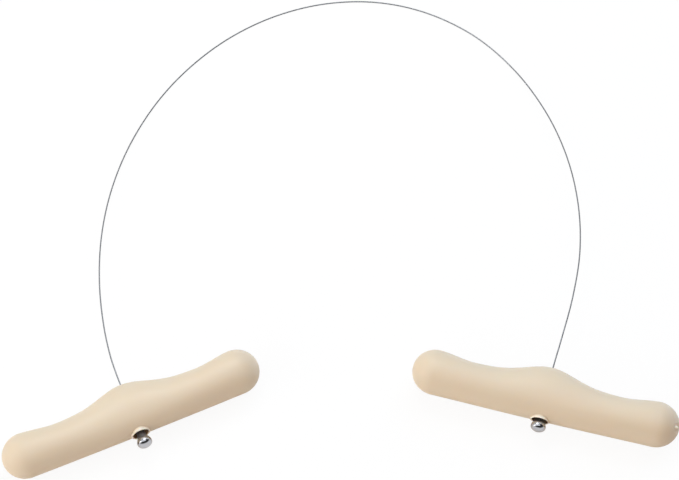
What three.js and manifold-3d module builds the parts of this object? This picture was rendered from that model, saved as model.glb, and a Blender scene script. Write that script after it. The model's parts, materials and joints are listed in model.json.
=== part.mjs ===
// Cheese wire: two moulded T-handles joined by one stainless cutting wire that lies in a wide open loop.
// Millimetres, +Z up. +X runs from the left handle to the right one, and the loop opens towards +Y.
// The origin is on the surface that the handles lie on, under the middle of the handles and stops.

import * as THREE from 'three';
import { mergeVertices } from 'three/addons/utils/BufferGeometryUtils.js';
import Module from 'manifold-3d';

// Handle, in its own frame: x along the bar, y along the wire hole towards the loop, z up
const handleLength = 115;
const waistFront = 8.4; // depth in front of the bar's axis at the finger recesses
const bumpRise = 6; // how much deeper the middle is
const bumpSpread = 14.7; // distance from the middle at which the bump has dropped to about a third
const bulbRise = 2; // how much deeper the ends are
const bulbStart = 31.5;
const bulbEnd = 48.5;
const middleBack = 9.4; // depth behind the bar's axis
const endBack = 8.9;
const endRound = 10; // length of each rounded end
const waistThinning = 0.8; // how much flatter the waist is than the ends, above and below
const bumpThickening = 0.4;
const handleSides = 32;
const barSteps = 36;
const endSteps = 6;

// Cutting wire
const wireDiameter = 0.6;
const wireSides = 8;
const wireSteps = 80;
const wireLead = 3; // straight stretch that leaves each handle before the loop's own curve

// Stop: a neck that flares like a bell to a rim, closed by a dome, with a blind hole that grips the wire
const rimDiameter = 6.4;
const domeHeight = 2.2;
const neckDiameter = 3.5;
const neckLength = 3.1;
const flareLength = 5.5;
const flareSpread = 2.55; // distance behind the rim at which the flare has dropped to about a third
const stopHoleDepth = 6;
const stopHoleClearance = 0.15; // between the wire and the stop's hole, all round and at its end
const stopSides = 24;
const domeSteps = 6;
const flareSteps = 8;

// Wire hole, counterbore for the stop, and the collar around its mouth
const wireHoleClearance = 0.5; // all round the wire
const mouthFlare = 0.65; // how far the wire hole's mouth widens, all round
const mouthDepth = 1.4;
const rimClearance = 0.3; // between the stop's rim and the counterbore, all round
const seatedDepth = 0.4; // how deep the dome's tip lies in the counterbore when the wire is pulled tight
const collarWall = 0.6;
const collarProud = 0.3; // how far the collar stands out of the straight back
const collarRoot = 2.5; // how deep the collar is sunk into the bar
const holeSides = 24;

// Where each handle lies: the middle of its bar, its turn on the surface and its turn about the bar, in degrees
const leftAcross = -88.11;
const leftAhead = -0.72;
const leftYaw = 23.95;
const leftRoll = 0;
const rightAcross = 85.59;
const rightAhead = 6.35;
const rightYaw = -14.8;
const rightRoll = 6;

// How far each stop's rim stands out of the collar, and how far the wire leans aside in the hole's mouth
const leftRimOut = 4.2;
const rightRimOut = 2.7;
const leftLean = 0.35;
const rightLean = 0.35;

// Free loop between the two straight leads, from left to right: points on the wire's axis
const loopPoints = [
  [-98.9, 26.9, 9.4],
  [-102.9, 43.4, 8.7],
  [-105.9, 65.2, 7.3],
  [-106.3, 90.1, 5.3],
  [-103, 115.7, 3.2],
  [-95.7, 140.6, 1.4],
  [-84.2, 163.9, 0.45],
  [-69.7, 182.9, 0.35],
  [-51.9, 199, 0.35],
  [-31.2, 211, 0.35],
  [-8.3, 218, 0.35],
  [15.6, 219, 0.35],
  [38.8, 213.3, 0.35],
  [61.3, 200.3, 0.35],
  [79.2, 181.6, 0.5],
  [92.9, 157.4, 2.3],
  [101.4, 130.9, 5.3],
  [105, 103.4, 8.6],
  [104.2, 77.5, 11.1],
  [99.7, 54, 12.4],
  [93.9, 34, 12.2],
];

const cutOverrun = 1; // how far a cut runs past the face that it opens

const wasm = await Module();
wasm.setup();

const plastic = { color: 0xdcc8a8, roughness: 0.42, metalness: 0 };
const steel = { color: 0xb9bbbd, roughness: 0.25, metalness: 1 };
const plating = { color: 0xc9cbce, roughness: 0.12, metalness: 1 };

// A closed solid from a geometry, without the collapsed triangles that a lathe has at its poles
function solidOf(geometry) {
  const bare = geometry.clone();
  bare.deleteAttribute('normal');
  bare.deleteAttribute('uv');
  const merged = mergeVertices(bare);
  const corners = merged.index.array;
  const kept = [];
  for (let i = 0; i < corners.length; i += 3) {
    const [a, b, c] = corners.slice(i, i + 3);
    if (a !== b && b !== c && c !== a) kept.push(a, b, c);
  }
  const mesh = new wasm.Mesh({
    numProp: 3,
    vertProperties: new Float32Array(merged.attributes.position.array),
    triVerts: new Uint32Array(kept),
  });
  return new wasm.Manifold(mesh);
}

function geometryOf(solid) {
  const mesh = solid.getMesh();
  const geometry = new THREE.BufferGeometry();
  geometry.setAttribute('position', new THREE.BufferAttribute(mesh.vertProperties, mesh.numProp));
  geometry.setIndex(new THREE.BufferAttribute(mesh.triVerts, 1));
  geometry.computeVertexNormals();
  return geometry;
}

const smooth = (x, low, high) => THREE.MathUtils.smoothstep(x, low, high);
const bump = (x) => Math.exp(-((x / bumpSpread) ** 2));
const barEnd = handleLength / 2 - endRound;

// Outline of the bar at a distance x from its middle
const frontAt = (x) => waistFront + bumpRise * bump(x) + bulbRise * smooth(x, bulbStart, bulbEnd);
const backAt = (x) => middleBack + (endBack - middleBack) * smooth(x, 0, barEnd);
const endHeight = (frontAt(barEnd) + backAt(barEnd)) / 2;
const heightAt = (x) =>
  endHeight - waistThinning * (1 - smooth(x, bulbStart / 2, barEnd)) + bumpThickening * bump(x);

// Bar: oval sections along x. Each rounded end is the last section drawn in along a quarter ellipse
function barGeometry() {
  const stations = [];
  for (let i = 1; i < endSteps; i += 1) {
    const turn = (Math.PI / 2) * (i / endSteps);
    stations.push({ x: -barEnd - endRound * Math.cos(turn), share: Math.sin(turn) });
  }
  for (let i = 0; i <= barSteps; i += 1) {
    stations.push({ x: barEnd * ((2 * i) / barSteps - 1), share: 1 });
  }
  for (let i = 1; i < endSteps; i += 1) {
    const turn = (Math.PI / 2) * (i / endSteps);
    stations.push({ x: barEnd + endRound * Math.sin(turn), share: Math.cos(turn) });
  }
  const positions = [];
  for (const { x, share } of stations) {
    const at = Math.min(Math.abs(x), barEnd);
    const middle = (frontAt(at) - backAt(at)) / 2;
    const depth = ((frontAt(at) + backAt(at)) / 2) * share;
    const height = heightAt(at) * share;
    for (let side = 0; side < handleSides; side += 1) {
      const turn = (2 * Math.PI * (side + 1 / 2)) / handleSides;
      positions.push(x, middle + depth * Math.cos(turn), height * Math.sin(turn));
    }
  }
  const tipMiddle = (frontAt(barEnd) - backAt(barEnd)) / 2;
  positions.push(-handleLength / 2, tipMiddle, 0, handleLength / 2, tipMiddle, 0);
  const corners = [];
  const lastRing = (stations.length - 1) * handleSides;
  const leftTip = lastRing + handleSides;
  for (let side = 0; side < handleSides; side += 1) {
    const next = (side + 1) % handleSides;
    for (let ring = 0; ring < lastRing; ring += handleSides) {
      const a = ring + side;
      const b = ring + next;
      corners.push(a, b, a + handleSides, b, b + handleSides, a + handleSides);
    }
    corners.push(leftTip, next, side, leftTip + 1, lastRing + side, lastRing + next);
  }
  const geometry = new THREE.BufferGeometry();
  geometry.setAttribute('position', new THREE.Float32BufferAttribute(positions, 3));
  geometry.setIndex(corners);
  return geometry;
}

// A turned shape about the wire hole's axis, from pairs of radius and y with y rising
function turned(profile, sides) {
  return new THREE.LatheGeometry(
    profile.map(([radius, y]) => new THREE.Vector2(radius, y)),
    sides,
  );
}

// Stop's and counterbore's sizes along the wire hole's axis
const rimRadius = rimDiameter / 2;
const neckEnd = flareLength + neckLength; // from the plane of the rim
const collarFace = -middleBack - collarProud;
const counterboreFloor = collarFace + seatedDepth + domeHeight + neckEnd;
const mouthFace = frontAt(0);

function handleGeometry() {
  const boreRadius = rimRadius + rimClearance;
  const holeRadius = wireDiameter / 2 + wireHoleClearance;
  const mouthSlope = mouthFlare / mouthDepth;
  const collarRadius = boreRadius + collarWall;
  const collar = turned(
    [
      [0, collarFace],
      [collarRadius, collarFace],
      [collarRadius, collarFace + collarRoot],
      [0, collarFace + collarRoot],
    ],
    holeSides,
  );
  const bore = turned(
    [
      [0, collarFace - cutOverrun],
      [boreRadius, collarFace - cutOverrun],
      [boreRadius, counterboreFloor],
      [holeRadius, counterboreFloor],
      [holeRadius, mouthFace - mouthDepth],
      [holeRadius + mouthFlare + mouthSlope * cutOverrun, mouthFace + cutOverrun],
      [0, mouthFace + cutOverrun],
    ],
    holeSides,
  );
  return geometryOf(solidOf(barGeometry()).add(solidOf(collar)).subtract(solidOf(bore)));
}

// Stop, turned about y with the dome at the low end and the rim in the plane of the origin
function stopGeometry() {
  const neckRadius = neckDiameter / 2;
  const holeRadius = wireDiameter / 2 + stopHoleClearance;
  const profile = [[0, -domeHeight]];
  for (let i = 1; i <= domeSteps; i += 1) {
    const turn = (Math.PI / 2) * (i / domeSteps);
    profile.push([rimRadius * Math.sin(turn), -domeHeight * Math.cos(turn)]);
  }
  for (let i = 1; i <= flareSteps; i += 1) {
    const y = (flareLength * i) / flareSteps;
    profile.push([neckRadius + (rimRadius - neckRadius) * Math.exp(-((y / flareSpread) ** 2)), y]);
  }
  profile.push([neckRadius, neckEnd]);
  profile.push([holeRadius, neckEnd]);
  profile.push([holeRadius, neckEnd - stopHoleDepth]);
  profile.push([0, neckEnd - stopHoleDepth]);
  return geometryOf(solidOf(turned(profile, stopSides)));
}

function named(name, geometry, finish) {
  const mesh = new THREE.Mesh(geometry, new THREE.MeshStandardMaterial(finish));
  mesh.name = name;
  return mesh;
}

// A handle with its stop, let down onto the surface
function handleWithStop(side, across, ahead, yaw, roll, rimOut) {
  const group = new THREE.Group();
  const handle = named(`${side}_handle`, handleGeometry(), plastic);
  const stop = named(`${side}_stop`, stopGeometry(), plating);
  stop.position.y = collarFace - rimOut;
  group.add(handle, stop);
  const { degToRad } = THREE.MathUtils;
  group.rotation.set(degToRad(roll), 0, degToRad(yaw), 'ZYX');
  group.position.set(across, ahead, 0);
  group.updateMatrixWorld(true);
  group.position.z = -new THREE.Box3().setFromObject(handle, true).min.z;
  group.updateMatrixWorld(true);
  return group;
}

// The wire's straight end: from inside the stop, through the handle, to the end of its lead
function straightEnd(group, rimOut, lean) {
  const wireEnd = collarFace - rimOut + neckEnd - stopHoleDepth + stopHoleClearance;
  const leanPerLength = lean / (mouthFace - counterboreFloor);
  const ys = [wireEnd, counterboreFloor, mouthFace, mouthFace + wireLead];
  return ys.map((y) => {
    const aside = leanPerLength * Math.max(y - counterboreFloor, 0);
    return group.localToWorld(new THREE.Vector3(aside, y, 0));
  });
}

function wireGeometry(points) {
  const section = new THREE.Shape();
  for (let side = 0; side < wireSides; side += 1) {
    const turn = (2 * Math.PI * side) / wireSides;
    const x = (wireDiameter / 2) * Math.cos(turn);
    const y = (wireDiameter / 2) * Math.sin(turn);
    if (side === 0) section.moveTo(x, y);
    else section.lineTo(x, y);
  }
  section.closePath();
  const path = new THREE.CatmullRomCurve3(points, false, 'centripetal');
  return new THREE.ExtrudeGeometry(section, { steps: wireSteps, bevelEnabled: false, extrudePath: path });
}

const left = handleWithStop('left', leftAcross, leftAhead, leftYaw, leftRoll, leftRimOut);
const right = handleWithStop('right', rightAcross, rightAhead, rightYaw, rightRoll, rightRimOut);

const wirePoints = [
  ...straightEnd(left, leftRimOut, leftLean),
  ...loopPoints.map((point) => new THREE.Vector3(...point)),
  ...straightEnd(right, rightRimOut, rightLean).reverse(),
];

// The origin goes under the middle of the handles and stops
const handles = new THREE.Group();
handles.add(left, right);
const middle = new THREE.Box3().setFromObject(handles, true).getCenter(new THREE.Vector3());

const cheeseWire = new THREE.Group();
cheeseWire.add(handles, named('cutting_wire', wireGeometry(wirePoints), steel));
cheeseWire.position.set(-middle.x, -middle.y, 0);

export default cheeseWire;
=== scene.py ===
"""Looks of a cheese wire: two satin moulded handles, a drawn steel cutting wire and two bright stops."""

import json
import math

import bmesh
import bpy
import numpy as np
from mathutils import Matrix, Vector


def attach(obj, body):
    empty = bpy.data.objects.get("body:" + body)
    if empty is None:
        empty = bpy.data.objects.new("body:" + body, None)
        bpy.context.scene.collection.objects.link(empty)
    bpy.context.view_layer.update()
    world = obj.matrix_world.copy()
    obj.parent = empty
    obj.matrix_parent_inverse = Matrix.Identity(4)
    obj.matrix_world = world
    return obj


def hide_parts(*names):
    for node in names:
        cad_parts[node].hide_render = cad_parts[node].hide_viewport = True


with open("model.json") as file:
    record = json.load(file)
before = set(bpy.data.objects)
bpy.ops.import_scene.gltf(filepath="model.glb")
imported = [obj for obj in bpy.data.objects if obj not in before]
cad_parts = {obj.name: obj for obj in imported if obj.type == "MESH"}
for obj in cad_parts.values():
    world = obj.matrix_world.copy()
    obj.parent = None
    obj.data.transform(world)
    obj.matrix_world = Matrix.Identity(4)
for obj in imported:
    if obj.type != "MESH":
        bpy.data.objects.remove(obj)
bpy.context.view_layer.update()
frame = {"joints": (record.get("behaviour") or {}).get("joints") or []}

MM = 0.001  # the shapes are worked out in millimetres, and their meshes are in metres

# Camera: the photograph's viewing angle, with the point by the floor that it looks at
PHOTO_WIDTH = 679  # pixels
FOCAL_LENGTH = 2212  # pixels
CAMERA_ELEVATION = 60.29  # degrees
CAMERA_DISTANCE = 984.06
LOOK_AT = (-1.06, 89.51, 0.11)
SENSOR_WIDTH = 36
NEAREST = 0.01  # metres, the span of distances that the camera sees
FARTHEST = 50

# Handle, in its own frame: x along the bar, y along the wire hole towards the loop, z up
HANDLE_LENGTH = 115
WAIST_FRONT = 8.4
BUMP_RISE = 6
BUMP_SPREAD = 14.7  # distance from the middle at which the bump has dropped to about a third
BULB_RISE = 2
BULB_START = 31.5
BULB_END = 48.5
MIDDLE_BACK = 9.4
END_BACK = 8.9
END_ROUND = 10
WAIST_THINNING = 0.8
BUMP_THICKENING = 0.4
BAR_END = HANDLE_LENGTH / 2 - END_ROUND
CELLS_ALONG = 190  # between the two rounded ends
CELLS_AROUND = 128
END_CELLS = 64
END_CROWDING = 1.5  # the power by which the rings of a rounded end crowd towards its tip
WINDOW_CELLS = 16  # half the width of the round patches' windows in the bar's grid, both ways
PATCH_RINGS = 14

# Wire, stop and the hole that they share
WIRE_DIAMETER = 0.6
WIRE_LEAD = 3
WIRE_LEAN = 0.35  # how far the wire leans aside in the hole's mouth
WIRE_STEP = 0.5
WIRE_SIDES = 14
WIRE_WRAP = 10  # length of wire to one turn of its texture
RIM_DIAMETER = 6.4
DOME_HEIGHT = 2.2
NECK_DIAMETER = 3.5
NECK_LENGTH = 3.1
FLARE_LENGTH = 5.5
FLARE_SPREAD = 2.55  # distance behind the rim at which the flare has dropped to about a third
STOP_HOLE_DEPTH = 6
STOP_HOLE_CLEARANCE = 0.15
STOP_SIDES = 96
DOME_ROWS = 28
FLARE_ROWS = 29
NECK_EDGE_ROWS = 6
POLE_RADIUS = 0.001  # of the tiny caps that close the dome's tip and the hole's floor
WIRE_HOLE_CLEARANCE = 0.5
MOUTH_FLARE = 0.65
MOUTH_DEPTH = 1.4
RIM_CLEARANCE = 0.3
SEATED_DEPTH = 0.4
COLLAR_WALL = 0.6
COLLAR_PROUD = 0.3
COLLAR_FILLET = 0.35
FILLET_SHARE = 0.9  # the most of the collar's free height that its fillet takes
EDGE_ROUND = 0.12
FILLET_ROWS = 7  # rings of the collar's fillet
EDGE_ROWS = 5  # rings of each rounded edge
MOUTH_ROWS = 9  # rings of the flared mouth
WELD_DISTANCE = 0.002
RIM_OUTS = {"left": 4.2, "right": 2.7}  # how far each stop's rim stands out of the collar

NECK_END = FLARE_LENGTH + NECK_LENGTH
COLLAR_FACE = -MIDDLE_BACK - COLLAR_PROUD
COUNTERBORE_FLOOR = COLLAR_FACE + SEATED_DEPTH + DOME_HEIGHT + NECK_END
COUNTERBORE_RADIUS = RIM_DIAMETER / 2 + RIM_CLEARANCE
WIRE_HOLE_RADIUS = WIRE_DIAMETER / 2 + WIRE_HOLE_CLEARANCE

# Gate mark: a shallow round dimple with a nib, in the end where the plastic was let into the mould
GATE_PLACE = (-0.2, 4.8)  # y and z of its middle
GATE_ENDS = {"left": -1, "right": 1}  # the left handle lies turned half round, its mark at the -x end
GATE_RADIUS = 1.8
GATE_DEPTH = 0.4
GATE_FLAT = 0.75  # share of the radius that the dimple's flat bottom takes
NIB_RADIUS = 0.75
NIB_HEIGHT = 0.6
NIB_FLAT = 0.4

# Free loop of the wire, from left to right, in the frame's own axes
LOOP_POINTS = [
    (-98.9, 26.9, 9.4),
    (-102.9, 43.4, 8.7),
    (-105.9, 65.2, 7.3),
    (-106.3, 90.1, 5.3),
    (-103, 115.7, 3.2),
    (-95.7, 140.6, 1.4),
    (-84.2, 163.9, 0.45),
    (-69.7, 182.9, 0.35),
    (-51.9, 199, 0.35),
    (-31.2, 211, 0.35),
    (-8.3, 218, 0.35),
    (15.6, 219, 0.35),
    (38.8, 213.3, 0.35),
    (61.3, 200.3, 0.35),
    (79.2, 181.6, 0.5),
    (92.9, 157.4, 2.3),
    (101.4, 130.9, 5.3),
    (105, 103.4, 8.6),
    (104.2, 77.5, 11.1),
    (99.7, 54, 12.4),
    (93.9, 34, 12.2),
]

# Sizes at which the patterns of the finishes are drawn
FLOW_SIZE = 38
HAZE_SIZE = 6
GRAIN_SIZE = 0.5
GRAIN_DEPTH = 0.03
DIE_LINE_LENGTH = 2.5
DIE_LINES_AROUND = 10
DIE_LINE_DEPTH = 0.005
RING_SPACING = 0.1075
RING_DEPTH = 0.01
RING_UNEVENNESS = 0.5  # cycles of the noise in one turn round the stop

# Stage, in metres
LIT_POINT = (0, 0.02, 0.01)  # between the handles, where the lamps point
FLOOR_HALF_WIDTH = 3
FLOOR_DROP = 0.00005

# Strengths and shares of the stage's light, where 1 is white
FLOOR_WHITENESS = 0.92  # how much of the floor's shading the camera sees replaced by plain white
SURROUND_STRENGTH = 0.14
DIM = 0.05  # strength of the surround that mirrors see away from the white

# Spans of values that are mapped to others
NOISE_SPAN = {"From Min": 0.3, "From Max": 0.7}  # most of what a noise texture gives
DULL_FLARE = {"From Min": 0.48, "From Max": 0.8}  # along the stop's texture, from its rim to 2.4 mm behind
WHITE_LOW_DOWN = {"From Min": 0.12, "From Max": 0.3}  # upward part of a direction, where the white ends
WHITE_BEYOND = {"From Min": 0.3, "From Max": 0.48}  # its part along y, where white begins beyond the loop

# A Mix node's sockets for colours
FROM_COLOUR = 6
TO_COLOUR = 7
MIXED_COLOUR = 2


def linear(hex_colour):
    """A linear RGBA colour from sRGB hex digits."""
    channels = [int(hex_colour[i:i + 2], 16) / 255 for i in (0, 2, 4)]
    return [c / 12.92 if c <= 0.04045 else ((c + 0.055) / 1.055) ** 2.4 for c in channels] + [1]


def add(tree, kind, inputs=None, **settings):
    """Adds a node. Settings are its own properties, and inputs gives its sockets values or links."""
    node = tree.nodes.new(kind)
    for name, value in settings.items():
        setattr(node, name, value)
    for socket, value in (inputs or {}).items():
        if isinstance(value, bpy.types.NodeSocket):
            tree.links.new(value, node.inputs[socket])
        else:
            node.inputs[socket].default_value = value
    return node


def new_material(name):
    """An empty node material, and its tree and shader."""
    material = bpy.data.materials.new(name)
    material.use_nodes = True
    tree = material.node_tree
    return material, tree, tree.nodes["Principled BSDF"]


def scale_for(size):
    """The scale of a pattern on Object coordinates whose features are that many millimetres across."""
    return 1 / (size * MM)


def satin_plastic():
    """Injection-moulded polypropylene from a finely blasted mould: satin and faintly translucent.

    The blasted texture of about 0.1 mm is too fine to show, so it is drawn coarser, and very low. The
    collar's land and the gate mark's nib carry a painted highlight: they are painted paler where their edges
    catch the light. The hole behind the collar carries painted shade: it is painted darker.
    """
    material, tree, shader = new_material("satin_moulded_polypropylene")
    place = add(tree, "ShaderNodeTexCoord").outputs["Object"]
    flow = add(tree, "ShaderNodeTexNoise", {"Vector": place, "Scale": scale_for(FLOW_SIZE), "Detail": 2})
    tint = add(
        tree,
        "ShaderNodeMix",
        {"Factor": flow.outputs["Fac"], FROM_COLOUR: linear("D8C3A4"), TO_COLOUR: linear("D9C6A7")},
        data_type="RGBA",
    ).outputs[MIXED_COLOUR]
    # Painted highlight: the collar's land and the gate mark's nib are mixed towards a pale cream
    painted_highlight = add(tree, "ShaderNodeAttribute", attribute_name="painted_highlight").outputs["Fac"]
    paler = add(
        tree,
        "ShaderNodeMix",
        {"Factor": painted_highlight, FROM_COLOUR: tint, TO_COLOUR: linear("F4E7CE")},
        data_type="RGBA",
    ).outputs[MIXED_COLOUR]
    # Painted shade: the hole behind the collar is mixed towards a dark brown
    painted_shade = add(tree, "ShaderNodeAttribute", attribute_name="painted_shade").outputs["Fac"]
    darker = add(
        tree,
        "ShaderNodeMix",
        {"Factor": painted_shade, FROM_COLOUR: paler, TO_COLOUR: linear("8C7255")},
        data_type="RGBA",
    ).outputs[MIXED_COLOUR]
    tree.links.new(darker, shader.inputs["Base Color"])
    haze = add(tree, "ShaderNodeTexNoise", {"Vector": place, "Scale": scale_for(HAZE_SIZE), "Detail": 4})
    rough = add(
        tree,
        "ShaderNodeMapRange",
        {"Value": haze.outputs["Fac"], **NOISE_SPAN, "To Min": 0.4, "To Max": 0.5},
    )
    tree.links.new(rough.outputs["Result"], shader.inputs["Roughness"])
    grain = add(tree, "ShaderNodeTexNoise", {"Vector": place, "Scale": scale_for(GRAIN_SIZE), "Detail": 3})
    relief = add(
        tree,
        "ShaderNodeBump",
        {"Height": grain.outputs["Fac"], "Strength": 0.12, "Distance": GRAIN_DEPTH * MM},
    )
    tree.links.new(relief.outputs["Normal"], shader.inputs["Normal"])
    shader.inputs["IOR"].default_value = 1.49
    shader.inputs["Subsurface Weight"].default_value = 0.25
    shader.inputs["Subsurface Radius"].default_value = (1, 0.62, 0.36)
    shader.inputs["Subsurface Scale"].default_value = 2.2 * MM
    return material


def drawn_steel():
    """Drawn stainless steel wire: smooth and bright, with fine die lines that run along it.

    The die lines of a few hundredths of a millimetre are drawn about ten to the circumference.
    """
    material, tree, shader = new_material("drawn_stainless_wire")
    shader.inputs["Base Color"].default_value = linear("7C7E81")
    shader.inputs["Metallic"].default_value = 1
    around = add(tree, "ShaderNodeUVMap", uv_map="wrap").outputs["UV"]
    cycles = (WIRE_WRAP / DIE_LINE_LENGTH, DIE_LINES_AROUND, 1)
    stretched = add(tree, "ShaderNodeMapping", {"Vector": around, "Scale": cycles})
    lines = add(tree, "ShaderNodeTexNoise", {"Vector": stretched.outputs["Vector"], "Scale": 1, "Detail": 3})
    rough = add(
        tree,
        "ShaderNodeMapRange",
        {"Value": lines.outputs["Fac"], **NOISE_SPAN, "To Min": 0.28, "To Max": 0.4},
    )
    tree.links.new(rough.outputs["Result"], shader.inputs["Roughness"])
    relief = add(
        tree,
        "ShaderNodeBump",
        {"Height": lines.outputs["Fac"], "Strength": 0.1, "Distance": DIE_LINE_DEPTH * MM},
    )
    tree.links.new(relief.outputs["Normal"], shader.inputs["Normal"])
    return material


def bright_nickel():
    """Bright nickel plating on turned brass: a mirror-like dome, and a flare that is duller behind its rim.

    Faint turning rings follow the profile. The real ones of about 0.05 mm are drawn about twice as wide.
    """
    material, tree, shader = new_material("bright_nickel_on_turned_brass")
    shader.inputs["Base Color"].default_value = linear("B9BABD")
    shader.inputs["Metallic"].default_value = 1
    wrap = add(tree, "ShaderNodeUVMap", uv_map="wrap").outputs["UV"]
    cycles = (RING_UNEVENNESS, NECK_END / RING_SPACING, 1)
    stretched = add(tree, "ShaderNodeMapping", {"Vector": wrap, "Scale": cycles})
    rings = add(tree, "ShaderNodeTexNoise", {"Vector": stretched.outputs["Vector"], "Scale": 1, "Detail": 2})
    rough = add(
        tree,
        "ShaderNodeMapRange",
        {"Value": rings.outputs["Fac"], **NOISE_SPAN, "To Min": 0.05, "To Max": 0.11},
    )
    along = add(tree, "ShaderNodeSeparateXYZ", {0: wrap}).outputs["Y"]
    duller = add(tree, "ShaderNodeMapRange", {"Value": along, **DULL_FLARE, "To Min": 0, "To Max": 0.3})
    total = add(
        tree,
        "ShaderNodeMath",
        {0: rough.outputs["Result"], 1: duller.outputs["Result"]},
        operation="ADD",
    )
    tree.links.new(total.outputs[0], shader.inputs["Roughness"])
    relief = add(
        tree,
        "ShaderNodeBump",
        {"Height": rings.outputs["Fac"], "Strength": 0.15, "Distance": RING_DEPTH * MM},
    )
    tree.links.new(relief.outputs["Normal"], shader.inputs["Normal"])
    return material


def mesh_object(name, points, faces, material, uvs=None):
    """A smooth-shaded mesh object at the origin, from points in metres and faces of numbered points.

    Uvs gives a pair for each corner of each face.
    """
    mesh = bpy.data.meshes.new(name)
    mesh.from_pydata(points.tolist(), [], faces)
    if uvs is not None:
        layer = mesh.uv_layers.new(name="wrap")
        layer.data.foreach_set("uv", np.asarray(uvs, np.float32).ravel())
    mesh.polygons.foreach_set("use_smooth", np.ones(len(mesh.polygons), bool))
    mesh.materials.append(material)
    mesh.update()
    piece = bpy.data.objects.new(name, mesh)
    bpy.context.scene.collection.objects.link(piece)
    return piece


def set_attribute(piece, name, masks):
    """Gives a mesh a point attribute that is 1 where the masks, one after another, are set."""
    values = np.concatenate(masks).astype(np.float32)
    piece.data.attributes.new(name, "FLOAT", "POINT").data.foreach_set("value", values)


def weld(piece):
    """Merges points that lie together and turns the faces outwards."""
    edit = bmesh.new()
    edit.from_mesh(piece.data)
    bmesh.ops.remove_doubles(edit, verts=edit.verts, dist=WELD_DISTANCE * MM)
    bmesh.ops.recalc_face_normals(edit, faces=edit.faces)
    edit.to_mesh(piece.data)
    edit.free()


def grid_faces(rows, columns, start=0):
    """Quads of a grid of points that are numbered row by row, with the last column joined to the first."""
    row = np.arange(rows - 1)[:, None] * columns
    column = np.arange(columns)[None, :]
    following = (column + 1) % columns
    corners = [row + column, row + following, row + columns + following, row + columns + column]
    return np.stack(corners, -1).reshape(-1, 4) + start


def grid_corners(rows, columns):
    """The row and the column of each corner of such quads. The joining quads' columns count on."""
    row = np.repeat(np.arange(rows - 1), columns)
    column = np.tile(np.arange(columns), rows - 1)
    return np.stack([row, row, row + 1, row + 1], -1), np.stack([column, column + 1, column + 1, column], -1)


def end_caps(rows, columns):
    """The faces that close such a grid at its first row and at its last."""
    row = np.arange(columns)
    return [row[::-1].tolist(), (row + (rows - 1) * columns).tolist()]


def lengths_along(points):
    """How far each point lies along the line through all of them."""
    return np.concatenate([[0], np.cumsum(np.linalg.norm(np.diff(points, axis=0), axis=1))])


def turns(count):
    """That many angles round a full turn, from 0 on."""
    return 2 * np.pi * np.arange(count) / count


def quarter_turn(count):
    """That many angles from 0 to 90 degrees."""
    return np.radians(np.linspace(0, 90, count))


def smooth(x, low, high):
    """An eased step from 0 at low to 1 at high."""
    t = np.clip((np.asarray(x, float) - low) / (high - low), 0, 1)
    return t * t * (3 - 2 * t)


def bump_at(x):
    """Share of the middle bump's rise at x: a bell curve."""
    return np.exp(-((x / BUMP_SPREAD) ** 2))


def front_at(x):
    """Depth of the bar in front of its axis: the waist, plus the bump, plus the thicker ends."""
    return WAIST_FRONT + BUMP_RISE * bump_at(x) + BULB_RISE * smooth(np.abs(x), BULB_START, BULB_END)


def back_at(x):
    """Depth of the bar behind its axis, nearly straight."""
    return MIDDLE_BACK + (END_BACK - MIDDLE_BACK) * smooth(np.abs(x), 0, BAR_END)


END_HEIGHT = (front_at(BAR_END) + back_at(BAR_END)) / 2


def height_at(x):
    """Half the thickness of the bar: slightly flatter at the waist, slightly thicker at the bump."""
    waist = 1 - smooth(np.abs(x), BULB_START / 2, BAR_END)
    return END_HEIGHT - WAIST_THINNING * waist + BUMP_THICKENING * bump_at(x)


def oval(x):
    """Middle, half depth and half height of the bar's oval section at x."""
    return (front_at(x) - back_at(x)) / 2, (front_at(x) + back_at(x)) / 2, height_at(x)


def bar_points(x, share, turn):
    """Bar surface: y and z go round the oval section at x, drawn in by share at the rounded ends."""
    middle, half_depth, half_height = oval(np.clip(x, -BAR_END, BAR_END))
    y = middle + half_depth * share * np.cos(turn)
    z = half_height * share * np.sin(turn)
    return np.stack(np.broadcast_arrays(x, y, z), -1)


def surface_y(x, z, side):
    """The y at which the bar's surface lies over the point x, z: side is 1 in front and -1 behind."""
    middle, half_depth, half_height = oval(x)
    return middle + side * half_depth * np.sqrt(1 - (z / half_height) ** 2)


def gate_dent(radius):
    """How far the gate mark lies below the end, at a radius from its middle: a round dimple less its nib."""
    dimple = GATE_DEPTH * (1 - smooth(radius, GATE_RADIUS * GATE_FLAT, GATE_RADIUS))
    nib = (GATE_DEPTH + NIB_HEIGHT) * (1 - smooth(radius, NIB_RADIUS * NIB_FLAT, NIB_RADIUS))
    return dimple - nib


def window_loop(stations, side):
    """Points of the window's edge in the bar's grid, counted round from the middle of its +x side upwards.

    A square of 2 n cells a side has 8 n points. Its two coordinates go to and fro between -n and n, a quarter
    of the way round apart, and each stays at n or -n along two of the sides.
    """
    n = WINDOW_CELLS
    k = np.arange(8 * n)
    along = 2 * n - np.clip(np.abs((k + 4 * n) % (8 * n) - 4 * n), n, 3 * n)
    up = np.clip(np.abs((k + 6 * n) % (8 * n) - 4 * n), n, 3 * n) - 2 * n
    x = stations[len(stations) // 2 + along]
    lift = 2 * np.pi * up / CELLS_AROUND
    turn = lift if side > 0 else np.pi - lift
    return bar_points(x, 1, turn)


def patch_rings(stations, side, radius):
    """Rings that lead over the bar's surface from a circle round the hole to the window's edge."""
    edge = window_loop(stations, side)
    around = turns(len(edge))
    share = np.linspace(0, 1, PATCH_RINGS + 1)[:, None]
    x = (1 - share) * radius * np.cos(around) + share * edge[:, 0]
    z = (1 - share) * radius * np.sin(around) + share * edge[:, 2]
    return np.stack([x, surface_y(x, z, side), z], -1)


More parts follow.
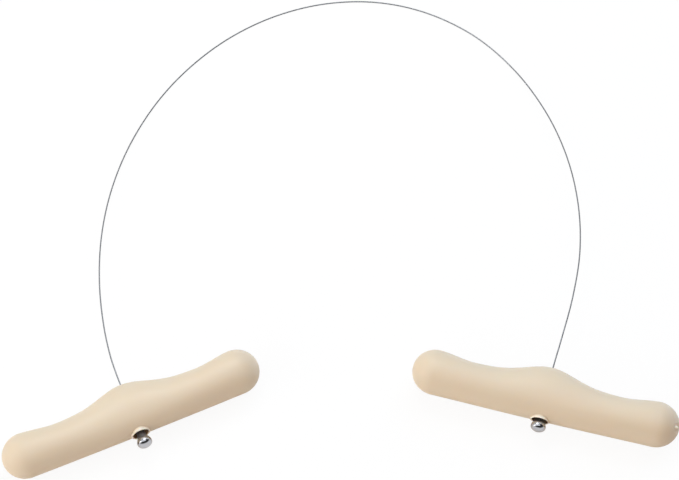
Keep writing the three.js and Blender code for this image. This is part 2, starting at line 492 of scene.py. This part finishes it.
def hole_rings(around, outer, mouth):
    """Rings of the hole, from the back to the front: the fillet at the collar's foot, the collar, the
    counterbore, its floor, the wire hole and the flared mouth, each a radius and a y for every angle."""
    collar = COUNTERBORE_RADIUS + COLLAR_WALL
    foot = surface_y(outer * np.cos(around), outer * np.sin(around), -1)[None, :]
    fillet = np.minimum(COLLAR_FILLET, (foot - COLLAR_FACE - EDGE_ROUND) * FILLET_SHARE)
    fillet_turn = quarter_turn(FILLET_ROWS)[:, None]
    lip = surface_y(mouth * np.cos(around), mouth * np.sin(around), 1)[None, :]
    throat = lip.mean() - MOUTH_DEPTH
    mouth_turn = quarter_turn(MOUTH_ROWS)[:, None]
    edge_turn = quarter_turn(EDGE_ROWS)[:, None]
    falling = EDGE_ROUND * (1 - np.sin(edge_turn))
    rising = EDGE_ROUND * (1 - np.cos(edge_turn))
    rows = [
        (collar + COLLAR_FILLET * (1 - np.sin(fillet_turn)), foot - fillet * (1 - np.cos(fillet_turn))),
        (collar - rising, COLLAR_FACE + falling),
        (COUNTERBORE_RADIUS + falling, COLLAR_FACE + rising),
        (COUNTERBORE_RADIUS, COLLAR_FACE + SEATED_DEPTH),
        (COUNTERBORE_RADIUS - rising, COUNTERBORE_FLOOR - falling),
        (WIRE_HOLE_RADIUS + falling, COUNTERBORE_FLOOR + rising),
        (
            WIRE_HOLE_RADIUS + (mouth - WIRE_HOLE_RADIUS) * (1 - np.cos(mouth_turn)),
            throat + (lip - throat) * np.sin(mouth_turn),
        ),
    ]
    flat = np.ones_like(foot)
    radii = np.concatenate([r * flat for r, _ in rows])
    ys = np.concatenate([y * flat for _, y in rows])
    return np.stack([radii * np.cos(around), ys, radii * np.sin(around)], -1)


def handle_mesh(name, place, material, gate_end):
    """One handle: the bar's grid with a square window in its back and one in its front, each filled by rings
    that narrow to a circle, and the hole's rings from circle to circle. Gate_end is 1 for a gate mark at the
    +x end, or -1 for one at the -x end, turned half round the hole."""
    end = np.pi / 2 * (np.arange(1, END_CELLS) / END_CELLS) ** END_CROWDING
    straight = np.linspace(-BAR_END, BAR_END, CELLS_ALONG + 1)
    cap = BAR_END + END_ROUND * np.cos(end)
    x = np.concatenate([-cap, straight, cap[::-1]])
    share = np.concatenate([np.sin(end), np.ones(len(straight)), np.sin(end[::-1])])
    bar = bar_points(x[:, None], share[:, None], turns(CELLS_AROUND)[None, :])
    past = gate_end * bar[..., 0] > BAR_END
    radius = np.hypot(bar[..., 1] - GATE_PLACE[0], gate_end * bar[..., 2] - GATE_PLACE[1])
    bar[..., 0] -= np.where(past, gate_end * gate_dent(radius), 0)
    row = np.arange(len(x) - 1)[:, None]
    column = np.arange(CELLS_AROUND)[None, :]
    near_middle = np.abs(row + 0.5 - (len(x) - 1) / 2) < WINDOW_CELLS
    behind = np.abs(column + 0.5 - CELLS_AROUND / 2) < WINDOW_CELLS
    before = np.minimum(column + 0.5, CELLS_AROUND - column - 0.5) < WINDOW_CELLS
    kept = ~(near_middle & (behind | before)).ravel()
    tip = HANDLE_LENGTH / 2
    middle = oval(BAR_END)[0]
    tips = np.array([[-tip, middle, 0], [tip, middle, 0]])

    collar_foot = COUNTERBORE_RADIUS + COLLAR_WALL + COLLAR_FILLET
    mouth = WIRE_HOLE_RADIUS + MOUTH_FLARE
    back = patch_rings(straight, -1, collar_foot)[::-1]
    front = patch_rings(straight, 1, mouth)
    around = turns(back.shape[1])
    hole = hole_rings(around, collar_foot, mouth)
    through = np.concatenate([back, hole, front])

    points = np.concatenate([bar.reshape(-1, 3), tips, through.reshape(-1, 3)])
    start = bar.shape[0] * CELLS_AROUND + len(tips)
    bar_quads = grid_faces(len(x), CELLS_AROUND)[kept]
    hole_quads = grid_faces(len(through), len(around), start)
    quads = np.concatenate([bar_quads, hole_quads])[:, ::-1]
    here = np.arange(CELLS_AROUND)
    following = (here + 1) % CELLS_AROUND
    last = (len(x) - 1) * CELLS_AROUND
    left_fan = np.stack([here, following, np.full(CELLS_AROUND, start - 2)], -1)
    right_fan = np.stack([last + following, last + here, np.full(CELLS_AROUND, start - 1)], -1)
    faces = quads.tolist() + left_fan.tolist() + right_fan.tolist()
    piece = mesh_object(name, (points @ place[0].T + place[1]) * MM, faces, material)

    ring = np.arange(len(through))[:, None] - len(back) + 0 * around
    # The collar's land and the gate mark's nib get a painted highlight, and the hole behind the collar
    # painted shade
    land = (ring >= FILLET_ROWS) & (ring < FILLET_ROWS + 2 * EDGE_ROWS)
    inside = (ring >= FILLET_ROWS + 2 * EDGE_ROWS) & (ring < len(hole) - MOUTH_ROWS)
    nib = past & (radius < NIB_RADIUS)
    # Attributes for the painted highlight and the painted shade
    set_attribute(piece, "painted_highlight", [nib.ravel(), np.zeros(len(tips), bool), land.ravel()])
    set_attribute(piece, "painted_shade", [np.zeros(start, bool), inside.ravel()])
    weld(piece)
    return piece


def stop_mesh(name, place, rim_out, material):
    """One stop, turned about y: a dome, a rim, a bell-shaped flare up to the neck, and the wire's hole."""
    rim = RIM_DIAMETER / 2
    neck = NECK_DIAMETER / 2
    hole = WIRE_DIAMETER / 2 + STOP_HOLE_CLEARANCE
    hole_floor = NECK_END - STOP_HOLE_DEPTH
    dome = quarter_turn(DOME_ROWS)
    flare = np.linspace(0, FLARE_LENGTH, FLARE_ROWS + 1)[1:]
    edge = quarter_turn(NECK_EDGE_ROWS)
    falling = EDGE_ROUND * (1 - np.sin(edge))
    rising = EDGE_ROUND * (1 - np.cos(edge))
    radius = np.concatenate([
        rim * np.sin(dome),
        neck + (rim - neck) * np.exp(-((flare / FLARE_SPREAD) ** 2)),
        neck - rising,
        hole + falling,
        [hole, POLE_RADIUS],
    ])
    radius[0] = POLE_RADIUS
    y = np.concatenate([
        -DOME_HEIGHT * np.cos(dome),
        flare,
        NECK_END - falling,
        NECK_END - rising,
        [hole_floor, hole_floor],
    ])
    around = turns(STOP_SIDES)
    shifted = y[:, None] + COLLAR_FACE - rim_out + 0 * around
    points = np.stack([radius[:, None] * np.cos(around), shifted, radius[:, None] * np.sin(around)], -1)
    local = points.reshape(-1, 3) @ place[0].T + place[1]
    quads = grid_faces(len(y), STOP_SIDES)[:, ::-1]
    caps = [cap[::-1] for cap in end_caps(len(y), STOP_SIDES)]
    upright = lengths_along(np.stack([radius, y], -1)) / NECK_END
    rows, columns = grid_corners(len(y), STOP_SIDES)
    wrap = np.stack([columns / STOP_SIDES, upright[rows]], -1)[:, ::-1].reshape(-1, 2)
    uvs = np.concatenate([wrap, np.zeros((2 * STOP_SIDES, 2))])
    return mesh_object(name, local * MM, quads.tolist() + caps, material, uvs)


def catmull_rom(points, step):
    """A smooth line through the points, sampled about every step, with its ends continued straight.

    It is the centripetal kind: each stretch counts with the root of its length.
    """
    p = np.vstack([2 * points[0] - points[1], points, 2 * points[-1] - points[-2]])
    pieces = []
    for i in range(1, len(p) - 2):
        a, b, c, d = p[i - 1:i + 3]
        before, here, after = (math.sqrt(np.linalg.norm(q - r)) for q, r in ((b, a), (c, b), (d, c)))
        leave = ((b - a) / before - (c - a) / (before + here) + (c - b) / here) * here
        arrive = ((c - b) / here - (d - b) / (here + after) + (d - c) / after) * here
        t = np.linspace(0, 1, max(2, round(np.linalg.norm(c - b) / step)), endpoint=False)[:, None]
        cubic = (2 * b - 2 * c + leave + arrive) * t ** 3 + (3 * c - 3 * b - 2 * leave - arrive) * t ** 2
        pieces.append(cubic + leave * t + b)
    return np.vstack([*pieces, points[-1]])


def tube_mesh(name, line, diameter, sides, material):
    """A round tube along a line in millimetres: each ring lies square to the line, one side of it level."""
    tangent = np.gradient(line, axis=0)
    tangent /= np.linalg.norm(tangent, axis=1, keepdims=True)
    level = np.cross(tangent, (0, 0, 1))
    level /= np.linalg.norm(level, axis=1, keepdims=True)
    upward = np.cross(level, tangent)
    turn = turns(sides)[None, :, None]
    rings = line[:, None] + diameter / 2 * (np.cos(turn) * level[:, None] + np.sin(turn) * upward[:, None])
    faces = grid_faces(len(line), sides).tolist() + end_caps(len(line), sides)
    along = lengths_along(line) / WIRE_WRAP
    rows, columns = grid_corners(len(line), sides)
    wrap = np.stack([along[rows], columns / sides], -1).reshape(-1, 2)
    uvs = np.concatenate([wrap, np.zeros((2 * sides, 2))])
    return mesh_object(name, rings.reshape(-1, 3) * MM, faces, material, uvs)


def place_of(side):
    """A handle's own frame, from its turning joint: a matrix with its axes as columns, and its middle."""
    joint = next(j for j in frame["joints"] if j["name"] == f"{side}_turn")
    y = np.array(joint["axis"], float)
    y /= np.linalg.norm(y)
    x = np.cross(y, (0, 0, 1))
    x /= np.linalg.norm(x)
    z = np.cross(x, y)
    return np.stack([x, y, z], -1), np.array(joint["pos_m"], float) / MM


def straight_end(side, place):
    """The wire from inside the stop to the end of its lead, leaning a little in the handle's hole."""
    mouth = float(front_at(0))
    wire_end = COLLAR_FACE - RIM_OUTS[side] + NECK_END - STOP_HOLE_DEPTH + STOP_HOLE_CLEARANCE
    y = np.array([wire_end, COUNTERBORE_FLOOR, mouth, mouth + WIRE_LEAD])
    aside = WIRE_LEAN / (mouth - COUNTERBORE_FLOOR) * np.maximum(y - COUNTERBORE_FLOOR, 0)
    return np.stack([aside, y, 0 * y], -1) @ place[0].T + place[1]


def make_camera():
    """The photograph's camera: it looks at a point by the floor from in front and above."""
    data = bpy.data.cameras.new("camera")
    data.sensor_width = SENSOR_WIDTH
    data.lens = FOCAL_LENGTH * SENSOR_WIDTH / PHOTO_WIDTH
    data.clip_start = NEAREST
    data.clip_end = FARTHEST
    camera = bpy.data.objects.new("camera", data)
    elevation = math.radians(CAMERA_ELEVATION)
    back = Vector((0, -math.cos(elevation), math.sin(elevation)))
    camera.location = (Vector(LOOK_AT) + back * CAMERA_DISTANCE) * MM
    camera.rotation_mode = "QUATERNION"
    camera.rotation_quaternion = (-back).to_track_quat("-Z", "Y")
    bpy.context.scene.collection.objects.link(camera)
    bpy.context.scene.camera = camera


def make_light(name, place, size, power, colour, mirrored=True):
    """A rectangular soft light at a place in metres, turned to the handles, with its width along x as seen
    from them. One that isn't mirrored lights the plastic, but doesn't show in the metal."""
    data = bpy.data.lights.new(name, "AREA")
    data.shape = "RECTANGLE"
    data.size, data.size_y = size
    data.energy = power
    data.color = linear(colour)[:3]
    lamp = bpy.data.objects.new(name, data)
    lamp.location = place
    away = (Vector(place) - Vector(LIT_POINT)).normalized()
    across = Vector((0, 1, 0)).cross(away).normalized()
    lamp.rotation_mode = "QUATERNION"
    lamp.rotation_quaternion = Matrix((across, away.cross(across), away)).transposed().to_quaternion()
    lamp.visible_glossy = mirrored
    bpy.context.scene.collection.objects.link(lamp)


def make_floor():
    """A wide pale floor. The camera sees it nearly white, with a faint shadow of the object on it, and the
    metal mirrors it as it is lit."""
    corners = np.array([(-1, -1), (1, -1), (1, 1), (-1, 1)]) * FLOOR_HALF_WIDTH
    points = np.column_stack([corners, np.full(4, -FLOOR_DROP)])
    material, tree, shader = new_material("pale_floor")
    shader.inputs["Base Color"].default_value = linear("F4EEE4")
    shader.inputs["Roughness"].default_value = 0.9
    shader.inputs["Specular IOR Level"].default_value = 0
    rays = add(tree, "ShaderNodeLightPath").outputs
    share = add(
        tree,
        "ShaderNodeMath",
        {0: rays["Is Camera Ray"], 1: FLOOR_WHITENESS},
        operation="MULTIPLY",
    ).outputs[0]
    white = add(tree, "ShaderNodeEmission", {"Color": (1, 1, 1, 1), "Strength": 1})
    mixed = add(tree, "ShaderNodeMixShader", {0: share, 1: shader.outputs[0], 2: white.outputs[0]})
    tree.links.new(mixed.outputs[0], tree.nodes["Material Output"].inputs["Surface"])
    floor = mesh_object("floor", points, [[0, 1, 2, 3]], material)


def make_world():
    """A dim warm surround. The camera, mirrors and glass see it white low down and beyond the loop, and dim
    elsewhere."""
    world = bpy.data.worlds.new("surround")
    world.use_nodes = True
    tree = world.node_tree
    lit = tree.nodes["Background"]
    lit.inputs["Color"].default_value = linear("FFDDB8")
    lit.inputs["Strength"].default_value = SURROUND_STRENGTH
    way = add(tree, "ShaderNodeTexCoord").outputs["Generated"]
    parts = add(tree, "ShaderNodeSeparateXYZ", {0: way}).outputs
    low_down = add(
        tree,
        "ShaderNodeMapRange",
        {"Value": parts["Z"], **WHITE_LOW_DOWN, "To Min": 1, "To Max": DIM},
    )
    beyond = add(
        tree,
        "ShaderNodeMapRange",
        {"Value": parts["Y"], **WHITE_BEYOND, "To Min": DIM, "To Max": 1},
    )
    bright = add(
        tree,
        "ShaderNodeMath",
        {0: low_down.outputs["Result"], 1: beyond.outputs["Result"]},
        operation="MAXIMUM",
    )
    wall = add(tree, "ShaderNodeBackground", {"Color": (1, 1, 1, 1), "Strength": bright.outputs[0]})
    rays = add(tree, "ShaderNodeLightPath").outputs
    mirrored = add(
        tree,
        "ShaderNodeMath",
        {0: rays["Is Glossy Ray"], 1: rays["Is Transmission Ray"]},
        operation="MAXIMUM",
    )
    seen = add(
        tree,
        "ShaderNodeMath",
        {0: rays["Is Camera Ray"], 1: mirrored.outputs[0]},
        operation="MAXIMUM",
    )
    mixed = add(tree, "ShaderNodeMixShader", {0: seen.outputs[0], 1: lit.outputs[0], 2: wall.outputs[0]})
    tree.links.new(mixed.outputs[0], tree.nodes["World Output"].inputs["Surface"])
    bpy.context.scene.world = world


make_camera()
places = {side: place_of(side) for side in ("left", "right")}

steel = drawn_steel()
left_end = straight_end("left", places["left"])
right_end = straight_end("right", places["right"])
wire_line = catmull_rom(np.vstack([left_end, LOOP_POINTS, right_end[::-1]]), WIRE_STEP)
wire = tube_mesh("steel_wire", wire_line, WIRE_DIAMETER, WIRE_SIDES, steel)
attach(wire, "wire")
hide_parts("cutting_wire")

plastic = satin_plastic()
nickel = bright_nickel()
for side, place in places.items():
    handle = handle_mesh(f"{side}_moulding", place, plastic, GATE_ENDS[side])
    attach(handle, f"{side}_handle")
    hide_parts(f"{side}_handle")
    stop = stop_mesh(f"{side}_turned_stop", place, RIM_OUTS[side], nickel)
    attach(stop, f"{side}_stop")
    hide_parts(f"{side}_stop")

make_floor()
make_world()
make_light("window", (-0.1, 0.38, 0.7), (0.3, 0.3), 1.9, "F4F9FF")
make_light("overhead", (-0.3, -0.12, 0.9), (1.8, 0.8), 5.7, "F2F5FA")
make_light("back_right", (0.65, 0.9, 1), (1.2, 1.2), 17.5, "BAD8FF", mirrored=False)
make_light("left", (-1.25, -0.25, 0.55), (0.9, 0.7), 4.7, "F6F2EE")
make_light("front_left", (-0.8, -0.8, 0.5), (0.9, 0.9), 6.8, "DFE9FF", mirrored=False)
make_light("front_right", (0.8, -0.8, 0.5), (0.9, 0.9), 1, "FFA860", mirrored=False)

view = bpy.context.scene.view_settings
view.view_transform = "Standard"
